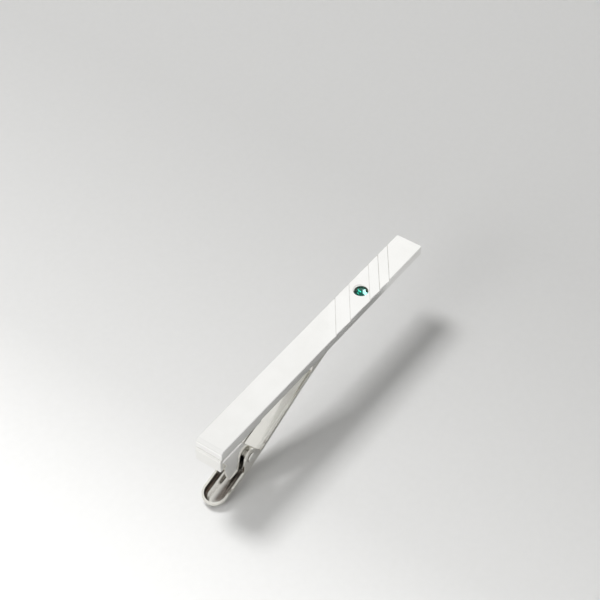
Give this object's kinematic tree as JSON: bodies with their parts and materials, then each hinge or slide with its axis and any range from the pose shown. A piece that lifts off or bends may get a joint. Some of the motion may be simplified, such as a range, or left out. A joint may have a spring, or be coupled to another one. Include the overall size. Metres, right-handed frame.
{
  "type": "tie bar clip",
  "caption": "Slim polished tie bar with slanting facet cuts, one sunk green stone and a sprung, toothed lever grip hinged behind one end.",
  "frame": {"origin": "point on the bar's rear face where the jaw closes, on the bar's centre line, halfway along it", "axes": "+X along the bar from the hinge end to the free end, +Z out of the seen front face, +Y across the bar"},
  "size_m": [0.0562, 0.005, 0.0135],
  "materials": {
    "polished_bar": "mirror polished rhodium-coloured plate",
    "green_stone": "faceted glass",
    "stone_foil": "mirror foil",
    "cement": "set jeweller's cement",
    "plated_sheet": "bright nickel plate on folded sheet",
    "solder": "fused solder, slightly dull",
    "lever_sheet": "bright nickel plate on pressed sheet",
    "pin_metal": "riveted, bright nickel plate",
    "spring_wire": "drawn spring steel wire"
  },
  "bodies": {
    "bar": {"front_bar": "polished_bar", "crystal": "green_stone", "crystal_foil": "stone_foil", "gem_cement": "cement", "hinge_bracket": "plated_sheet", "solder_seam": "solder", "hinge_pin": "pin_metal", "torsion_spring": "spring_wire"},
    "lever": {"lever_arm": "lever_sheet"}
  },
  "joints": [
    {"name": "lever_hinge", "type": "hinge", "parent": "bar", "child": "lever", "pos_m": [-0.02, 0, -0.0069], "axis": [0, 1, 0], "range_deg": [0, 24], "stiffness_Nm_per_rad": 0.004, "springref_deg": -28.65, "deforming": ["torsion_spring"]}
  ]
}
